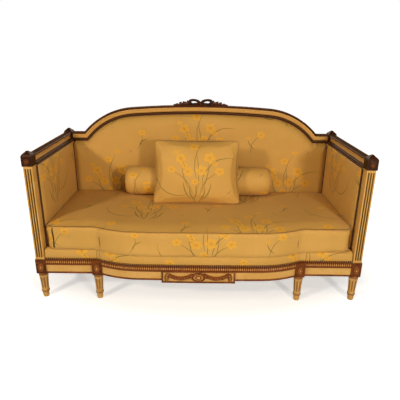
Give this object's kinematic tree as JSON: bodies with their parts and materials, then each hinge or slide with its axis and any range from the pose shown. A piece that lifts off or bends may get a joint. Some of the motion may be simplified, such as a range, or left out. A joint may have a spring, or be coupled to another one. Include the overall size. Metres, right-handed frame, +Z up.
{
  "type": "bergere sofa",
  "caption": "Upholstered sofa with a painted and gilt carved frame, fluted posts, bowed front rail and arched back, with loose seat cushion, bolster and pillow.",
  "frame": {"origin": "on the floor, at the middle of the whole sofa's box", "axes": "+X along the sofa's width, left to right seen from the front; +Y from the front to the back; +Z up"},
  "size_m": [1.85, 0.833, 1.07],
  "materials": {
    "cream_paint": "aged cream-yellow paint on beech, satin",
    "antique_gilt": "dark antique gilding on carved beech, worn on the high edges",
    "bare_beech": "planed beech, unfinished",
    "silk_fabric": "honey-gold woven silk with a woven floral sprig",
    "linen_webbing": "plain woven linen webbing"
  },
  "bodies": {
    "frame": {"arm_lower_rail_left": "bare_beech", "arm_lower_rail_right": "bare_beech", "arm_pad_left": "silk_fabric", "arm_pad_right": "silk_fabric", "arm_rail_left": "cream_paint", "arm_rail_right": "cream_paint", "back_lower_rail": "bare_beech", "back_pad": "silk_fabric", "back_stile_left": "bare_beech", "back_stile_right": "bare_beech", "back_webbing": "linen_webbing", "cap_block_paterae": "antique_gilt", "corner_block_front_left": "bare_beech", "corner_block_front_right": "bare_beech", "corner_block_rear_left": "bare_beech", "corner_block_rear_right": "bare_beech", "crest_carving": "antique_gilt", "crest_rail": "cream_paint", "front_leg_left": "cream_paint", "front_leg_right": "cream_paint", "front_post_left": "cream_paint", "front_post_right": "cream_paint", "front_rail_centre": "cream_paint", "front_rail_left": "cream_paint", "front_rail_right": "cream_paint", "front_tablet": "cream_paint", "middle_block_left": "cream_paint", "middle_block_right": "cream_paint", "middle_leg_left": "cream_paint", "middle_leg_right": "cream_paint", "outside_arm_panel_left": "silk_fabric", "outside_arm_panel_right": "silk_fabric", "outside_back_panel": "silk_fabric", "rail_block_paterae": "antique_gilt", "rail_moulding_centre": "antique_gilt", "rail_moulding_left": "antique_gilt", "rail_moulding_right": "antique_gilt", "rear_middle_leg_left": "cream_paint", "rear_middle_leg_right": "cream_paint", "rear_post_left": "cream_paint", "rear_post_right": "cream_paint", "rear_rail": "cream_paint", "seat_deck": "silk_fabric", "seat_stretcher_left": "bare_beech", "seat_stretcher_right": "bare_beech", "seat_webbing": "linen_webbing", "side_rail_left": "cream_paint", "side_rail_right": "cream_paint", "tablet_carving": "antique_gilt"},
    "cushion": {"seat_cushion": "silk_fabric"},
    "roll": {"bolster": "silk_fabric"},
    "throw_pillow": {"pillow": "silk_fabric"}
  },
  "joints": [
    {"name": "cushion_lift", "type": "slide", "parent": "frame", "child": "cushion", "axis": [0, 0, 1], "range_m": [0, 0.58]},
    {"name": "bolster_lift", "type": "slide", "parent": "cushion", "child": "roll", "axis": [0, 0, 1], "range_m": [0, 0.45]},
    {"name": "pillow_lift", "type": "slide", "parent": "roll", "child": "throw_pillow", "axis": [0, -0.6, 0.8], "range_m": [0, 0.45]}
  ]
}
